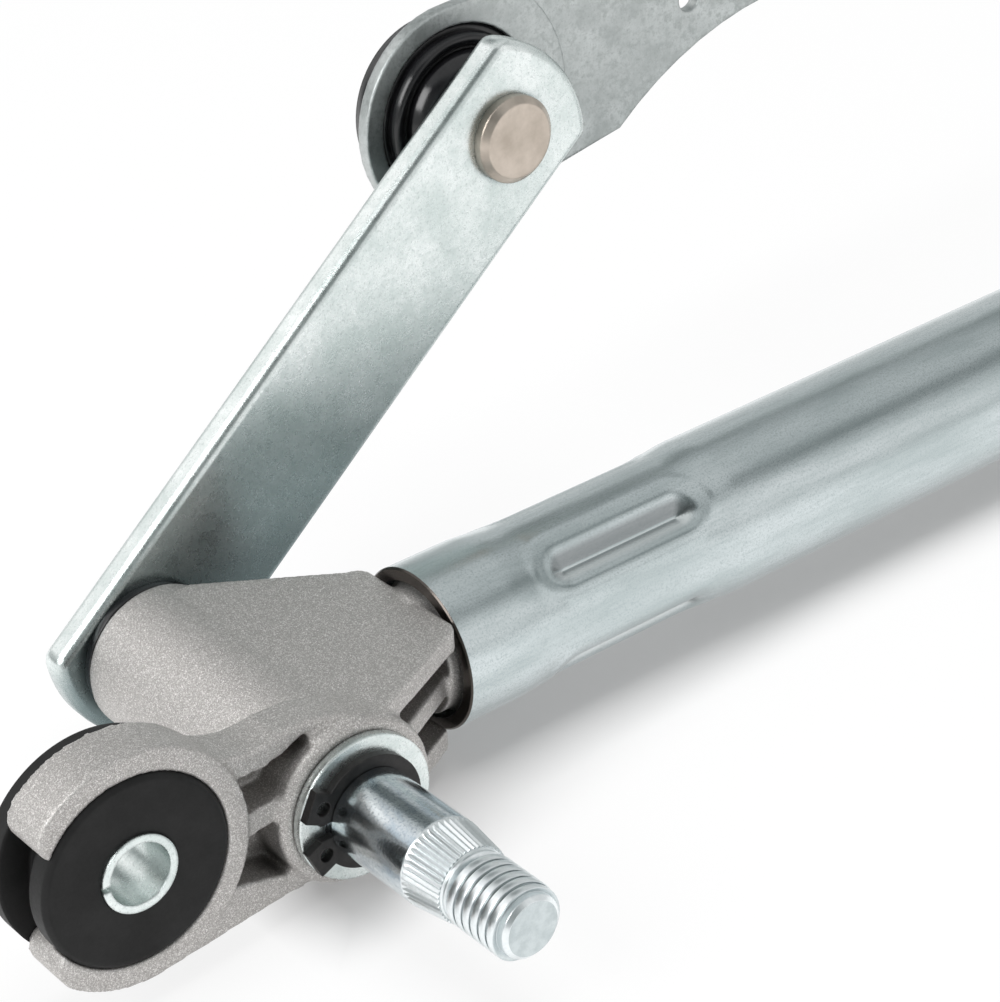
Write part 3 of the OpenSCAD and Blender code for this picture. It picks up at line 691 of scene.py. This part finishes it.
def serrationTree(material):
    tree, given, out, ids = newTree("serration", [
        ("Teeth", "NodeSocketInt"), ("Size", "NodeSocketFloat"),
        ("From", "NodeSocketVector"), ("To", "NodeSocketVector")])
    row = tree.nodes.new("GeometryNodeMeshLine")
    tree.links.new(given.outputs["Teeth"], row.inputs["Count"])
    row.inputs["Offset"].default_value = (0.0, 0.0, 0.0)
    line = tree.nodes.new("GeometryNodeCurvePrimitiveLine")
    tree.links.new(given.outputs["From"], line.inputs["Start"])
    tree.links.new(given.outputs["To"], line.inputs["End"])
    ring = tree.nodes.new("GeometryNodeCurvePrimitiveCircle")
    ring.inputs["Resolution"].default_value = 4
    tree.links.new(given.outputs["Size"], ring.inputs["Radius"])
    tooth = tree.nodes.new("GeometryNodeCurveToMesh")
    tree.links.new(line.outputs[0], tooth.inputs["Curve"])
    tree.links.new(ring.outputs[0], tooth.inputs["Profile Curve"])
    tooth.inputs["Fill Caps"].default_value = True
    index = tree.nodes.new("GeometryNodeInputIndex")
    share = calc(tree, "DIVIDE", index.outputs[0], given.outputs["Teeth"])
    angle = calc(tree, "MULTIPLY", share, 2 * math.pi)
    about = tree.nodes.new("ShaderNodeCombineXYZ")
    tree.links.new(angle, about.inputs["Y"])
    spread = tree.nodes.new("GeometryNodeInstanceOnPoints")
    tree.links.new(row.outputs[0], spread.inputs["Points"])
    tree.links.new(tooth.outputs[0], spread.inputs["Instance"])
    tree.links.new(about.outputs[0], spread.inputs["Rotation"])
    closeTree(tree, out, spread.outputs[0], material)
    return tree, ids


def threadTree(material):
    tree, given, out, ids = newTree("thread", [
        ("Turns", "NodeSocketFloat"), ("Root", "NodeSocketFloat"), ("Length", "NodeSocketFloat"),
        ("Foot", "NodeSocketFloat"), ("Crest", "NodeSocketFloat"), ("Height", "NodeSocketFloat")])
    coil = tree.nodes.new("GeometryNodeCurveSpiral")
    coil.inputs["Resolution"].default_value = spindleSet["coilSteps"]
    sockets = (("Turns", "Rotations"), ("Root", "Start Radius"), ("Root", "End Radius"), ("Length", "Height"))
    for label, socket in sockets:
        tree.links.new(given.outputs[label], coil.inputs[socket])
    upright = tree.nodes.new("GeometryNodeSetCurveNormal")
    upright.mode = "Z_UP"
    tree.links.new(coil.outputs[0], upright.inputs["Curve"])
    shape = tree.nodes.new("GeometryNodeCurvePrimitiveQuadrilateral")
    shape.mode = "TRAPEZOID"
    for label, socket in (("Foot", "Bottom Width"), ("Crest", "Top Width"), ("Height", "Height")):
        tree.links.new(given.outputs[label], shape.inputs[socket])
    shape.inputs["Offset"].default_value = 0.0
    rounded = tree.nodes.new("GeometryNodeFilletCurve")
    rounded.mode = "POLY"
    rounded.inputs["Count"].default_value = spindleSet["roundSteps"]
    rounded.inputs["Radius"].default_value = spindleSet["crestRound"] * mm
    rounded.inputs["Limit Radius"].default_value = True
    tree.links.new(shape.outputs[0], rounded.inputs["Curve"])
    lay = tree.nodes.new("GeometryNodeTransform")
    lay.inputs["Rotation"].default_value = (0.0, 0.0, -math.pi / 2)
    tree.links.new(rounded.outputs[0], lay.inputs["Geometry"])
    along = tree.nodes.new("GeometryNodeSplineParameter")
    thinned, runOut = spindleSet["thinned"], spindleSet["runOut"]
    rise = span(tree, along.outputs["Factor"], thinned, 1.0, 0.0, runOut)
    fall = span(tree, along.outputs["Factor"], 1.0, thinned, 1.0 - runOut, 1.0)
    least = calc(tree, "MINIMUM", rise, fall)
    ridge = tree.nodes.new("GeometryNodeCurveToMesh")
    tree.links.new(upright.outputs[0], ridge.inputs["Curve"])
    tree.links.new(lay.outputs[0], ridge.inputs["Profile Curve"])
    tree.links.new(least, ridge.inputs["Scale"])
    ridge.inputs["Fill Caps"].default_value = True
    closeTree(tree, out, ridge.outputs[0], material)
    return tree, ids


def grown(tree, ids, values):
    obj = bpy.data.objects.new("bench", bpy.data.meshes.new("bench"))
    bpy.context.scene.collection.objects.link(obj)
    change = obj.modifiers.new("grow", "NODES")
    change.node_group = tree
    for label, value in values.items():
        change[ids[label]] = value
    view = bpy.context.evaluated_depsgraph_get()
    mesh = bpy.data.meshes.new_from_object(obj.evaluated_get(view), depsgraph=view)
    bpy.data.objects.remove(obj)
    return mesh


def makeSpindles():
    s = spindleSet
    shaft = shaftFinish()
    size = s["toothSize"]
    (y0, r0), (y1, r1) = s["coneFrom"], s["coneTo"]
    teeth = {
        "Teeth": s["teeth"], "Size": size * mm,
        "From": (0.0, y0 * mm, (r0 - size) * mm), "To": (0.0, y1 * mm, (r1 - size) * mm),
    }
    serration = grown(*serrationTree(shaft), teeth)
    length = s["threadFrom"] - s["threadTo"]
    height = s["threadTop"] - s["threadRoot"] + s["sunk"]
    turns = {
        "Turns": length / s["pitch"], "Root": (s["threadTop"] - height / 2) * mm, "Length": length * mm,
        "Foot": s["foot"] * mm, "Crest": s["crest"] * mm, "Height": height * mm,
    }
    thread = grown(*threadTree(shaft), turns)
    thread.transform(Matrix.Rotation(math.radians(90), 4, "X"))
    thread.transform(Matrix.Translation((0.0, s["threadFrom"] * mm, 0.0)))
    for side, x0 in (("left", 0.0), ("right", spacing)):
        work = bmesh.new()
        work.from_mesh(lathe(side + "Shaft", s["profile"], x0))
        for extra in (serration, thread):
            moved = extra.copy()
            moved.transform(Matrix.Translation((x0 * mm, 0.0, 0.0)))
            work.from_mesh(moved)
        bmesh.ops.recalc_face_normals(work, faces=work.faces)
        mesh = bpy.data.meshes.new(side + "Shaft")
        work.to_mesh(mesh)
        work.free()
        smoothShade(mesh, s["smooth"])
        settle(side + "Shaft", mesh, side + "_lever", "zinc_steel", side + "_spindle", shaft)
        print(side, "spindle", len(mesh.polygons), "faces")


# ball joints: domed seal with a bead, and the rear collar of each socket

jointSet = {
    "left_link": {"body": "link", "seal": True}, "right_link": {"body": "link", "seal": True},
    "drive_crank": {"body": "drive", "seal": True}, "drive_motor": {"body": "drive", "seal": False},
}
sealSet = {
    "bore": 4.6, "lip": 0.9, "lipFront": 0.3, "lipRear": 1.4, "skirt": 2.2, "drop": 1.3,
    "bead": 0.9, "beadIn": 1.0, "beadUp": 1.1, "rim": 0.9, "foot": 1.8, "steps": 10,
}
collarSet = {"inner": 11.9, "outer": 12.7, "behind": 3.4, "length": 3.4, "ease": 0.4}
ringSmooth = 50


def sealProfile(front, rear, outer):
    q = sealSet
    points = [(q["bore"], front + q["lipRear"]), (q["bore"], front + q["lipFront"])]
    for step in range(q["steps"] + 1):
        turn = math.pi / 2 * step / q["steps"]
        r = q["bore"] + q["lip"] + (outer - q["skirt"] - q["bore"] - q["lip"]) * math.sin(turn)
        points.append((r, front + (rear - q["drop"] - front) * (1.0 - math.cos(turn))))
    for step in range(q["steps"] + 1):
        turn = math.pi * (1.0 - step / q["steps"])
        r = outer - q["beadIn"] + q["bead"] * math.cos(turn)
        points.append((r, rear - q["beadUp"] - q["bead"] * math.sin(turn)))
    return points + [(outer, rear - q["rim"]), (outer, rear), (outer - q["foot"], rear), points[0]]


def collarProfile(front):
    c = collarSet
    start, end = front + c["behind"], front + c["behind"] + c["length"]
    first = (c["inner"], start)
    return [
        first, (c["outer"] - c["ease"], start), (c["outer"], start + c["ease"]),
        (c["outer"], end - c["ease"]), (c["outer"] - c["ease"], end), (c["inner"], end), first,
    ]


def turnedRing(name, profile, x0, z0):
    mesh = cleaned(lathe(name, profile, x0), ringGap)
    mesh.transform(Matrix.Translation((0.0, 0.0, z0 * mm)))
    smoothShade(mesh, ringSmooth)
    return mesh


def makeJoints():
    gloss = plainFinish("mouldedPlastic", plasticLook)
    for name, joint in jointSet.items():
        low, high = nodeBox(name + "_socket")
        x0, z0 = (low[0] + high[0]) / 2, (low[2] + high[2]) / 2
        collar = turnedRing(name + "Collar", collarProfile(low[1]), x0, z0)
        settle(name + "Collar", collar, joint["body"], "black_plastic")
        if joint["seal"]:
            seal = name + "_seal"
            low, high = nodeBox(seal)
            profile = sealProfile(low[1], high[1], (high[0] - low[0]) / 2)
            mesh = turnedRing(name + "Boot", profile, x0, z0)
            settle(name + "Boot", mesh, joint["body"], slotOf[seal], seal, gloss)
    print("ball joints dressed")


makeCastings()
makeTube()
makeStamped()
makeSpindles()
makeJoints()


# camera, floor and light

cameraSet = {
    "place": (-162.498, -230.456, 213.126), "right": (0.781392, -0.621001, -0.061515),
    "up": (0.351851, 0.357013, 0.865299), "lens": 107.824, "sensor": 36.0, "near": 0.01, "far": 20.0,
}


def setCamera():
    data = bpy.data.cameras.new("photoCamera")
    data.lens = cameraSet["lens"]
    data.sensor_width = cameraSet["sensor"]
    data.clip_start = cameraSet["near"]
    data.clip_end = cameraSet["far"]
    cam = bpy.data.objects.new("photoCamera", data)
    bpy.context.scene.collection.objects.link(cam)
    right = Vector(cameraSet["right"]).normalized()
    up = Vector(cameraSet["up"])
    back = right.cross(up).normalized()
    up = back.cross(right)
    turn = Matrix((right, up, back)).transposed().to_4x4()
    cam.matrix_world = Matrix.Translation(Vector(cameraSet["place"]) * mm) @ turn
    bpy.context.scene.camera = cam


floorSet = {
    # veil, clean and mirrorVeil are shares of floor glow, painted light laid over the floor's shade
    "size": 6.0, "tone": 0.88, "mirrored": 0.80, "seen": 0.58, "veil": 0.22, "mirrorVeil": 0.45,
    "clean": 0.85, "shadowLine": 0.039, "shadowHalf": 0.016, "shadowEnd": 0.028, "shadowSlope": 0.148,
    "shadowBend": 0.09, "shadowLeft": (0.0, -0.014), "shadowRight": (0.14, 0.40),
    "middle": (0.26, 0.03), "fadeFrom": 0.55, "fadeTo": 0.95,
}


# painted light on the floor: outside the strip where the photo has the tube's shadow, the floor glows for
# camera rays and washes out the object's shadow
def floorVeil(tree, place):
    along = calc(tree, "MINIMUM", place["X"], floorSet["shadowBend"])
    slant = calc(tree, "MULTIPLY_ADD", along, floorSet["shadowSlope"], floorSet["shadowLine"])
    aside = calc(tree, "ABSOLUTE", calc(tree, "SUBTRACT", place["Y"], slant))
    clean = floorSet["clean"]
    veil = eased(tree, aside, floorSet["veil"], clean, floorSet["shadowHalf"], floorSet["shadowEnd"])
    start, end = floorSet["shadowLeft"]
    veil = calc(tree, "MAXIMUM", veil, span(tree, place["X"], clean, 0.0, end, start))
    start, end = floorSet["shadowRight"]
    return calc(tree, "MAXIMUM", veil, span(tree, place["X"], 0.0, clean, start, end))


def setFloor():
    low = solidBox[0][2]
    mesh = bpy.data.meshes.new("studioFloor")
    half = floorSet["size"] / 2
    corners = [(-half, -half, low), (half, -half, low), (half, half, low), (-half, half, low)]
    mesh.from_pydata(corners, [], [(0, 1, 2, 3)])
    floor = bpy.data.objects.new("studioFloor", mesh)
    bpy.context.scene.collection.objects.link(floor)
    mat = bpy.data.materials.new("paleFloor")
    mat.use_nodes = True
    tree = mat.node_tree
    tree.nodes.remove(tree.nodes["Principled BSDF"])
    path = addNode(tree, "ShaderNodeLightPath").outputs
    tone = span(tree, path["Is Glossy Ray"], floorSet["tone"], floorSet["mirrored"])
    less = span(tree, path["Is Camera Ray"], 0.0, floorSet["seen"] - floorSet["tone"])
    tone = calc(tree, "ADD", tone, less)
    paint = addNode(tree, "ShaderNodeCombineColor")
    for channel in range(3):
        tree.links.new(tone, paint.inputs[channel])
    paper = addNode(tree, "ShaderNodeBsdfDiffuse")
    tree.links.new(paint.outputs[0], paper.inputs["Color"])
    coords = addNode(tree, "ShaderNodeTexCoord").outputs["Object"]
    away = addNode(tree, "ShaderNodeVectorMath", operation="DISTANCE")
    tree.links.new(coords, away.inputs[0])
    away.inputs[1].default_value = (*floorSet["middle"], low)
    veil = floorVeil(tree, axes(tree, coords))
    fade = eased(tree, away.outputs["Value"], veil, 1.0, floorSet["fadeFrom"], floorSet["fadeTo"])
    far = calc(tree, "MULTIPLY", fade, path["Is Camera Ray"])
    # glossy rays see the floor glow as well: painted light in the floor's reflections
    pale = calc(tree, "ADD", far, span(tree, path["Is Glossy Ray"], 0.0, floorSet["mirrorVeil"]))
    blank = addNode(tree, "ShaderNodeEmission")
    joined = addNode(tree, "ShaderNodeMixShader")
    for index, source in enumerate((pale, paper.outputs[0], blank.outputs[0])):
        tree.links.new(source, joined.inputs[index])
    tree.links.new(joined.outputs[0], tree.nodes["Material Output"].inputs["Surface"])
    mesh.materials.append(mat)


lampSet = {
    "top": {
        "place": (0.1, 0.02, 1.3), "aim": (0.1, 0.02, 0.0), "size": 0.9, "power": 16.0, "mirrored": False,
    },
    "left": {
        "place": (-0.95, 0.0, 0.75), "aim": (0.0, 0.03, 0.0), "size": 0.7, "power": 10.0, "mirrored": True,
    },
}
airSet = {
    "low": 0.76, "high": 0.50, "from": 0.54, "to": 0.68, "cool": 1.07,
    "lobes": [
        ((-0.516, -0.697, 0.498), 0.78, 0.97, -0.45), ((0.68, -0.46, 0.57), 0.95, 0.985, -0.24),
        ((0.08, 0.65, 0.76), 0.90, 0.98, -0.36), ((-0.40, 0.68, 0.61), 0.86, 0.97, 0.70),
        ((-0.70, 0.66, 0.26), 0.88, 0.97, -0.45), ((0.10, 0.0, 1.0), 0.72, 0.88, 0.26),
        ((0.516, -0.76, 0.38), 0.89, 0.985, 0.34),
    ],
}


def setLight():
    for name, lamp in lampSet.items():
        data = bpy.data.lights.new(name + "Lamp", "AREA")
        data.shape = "RECTANGLE"
        data.size = data.size_y = lamp["size"]
        data.energy = lamp["power"]
        obj = bpy.data.objects.new(name + "Lamp", data)
        obj.visible_camera = False
        obj.visible_glossy = lamp["mirrored"]
        bpy.context.scene.collection.objects.link(obj)
        place, aim = Vector(lamp["place"]), Vector(lamp["aim"])
        turn = (aim - place).to_track_quat("-Z", "Y").to_matrix().to_4x4()
        obj.matrix_world = Matrix.Translation(place) @ turn
    world = bpy.data.worlds.new("studioAir")
    bpy.context.scene.world = world
    world.use_nodes = True
    tree = world.node_tree
    air = tree.nodes["Background"]
    coords = addNode(tree, "ShaderNodeTexCoord").outputs["Generated"]
    height = axes(tree, coords)["Z"]
    level = eased(tree, height, airSet["low"], airSet["high"], airSet["from"], airSet["to"])
    for aim, start, full, change in airSet["lobes"]:
        facing = addNode(tree, "ShaderNodeVectorMath", operation="DOT_PRODUCT")
        tree.links.new(coords, facing.inputs[0])
        facing.inputs[1].default_value = Vector(aim).normalized()
        amount = eased(tree, facing.outputs["Value"], 0.0, change, start, full)
        level = calc(tree, "ADD", level, amount)
    path = addNode(tree, "ShaderNodeLightPath").outputs
    red = calc(tree, "POWER", level, span(tree, path["Is Glossy Ray"], 1.0, airSet["cool"]))
    shade = addNode(tree, "ShaderNodeCombineColor")
    for channel, source in enumerate((red, level, level)):
        tree.links.new(source, shade.inputs[channel])
    seen = mixed(tree, path["Is Camera Ray"], shade.outputs[0], (1.0, 1.0, 1.0))
    tree.links.new(seen, air.inputs["Color"])
    bpy.context.scene.view_settings.view_transform = "Standard"


setCamera()
setFloor()
setLight()
print("camera, floor and light set")
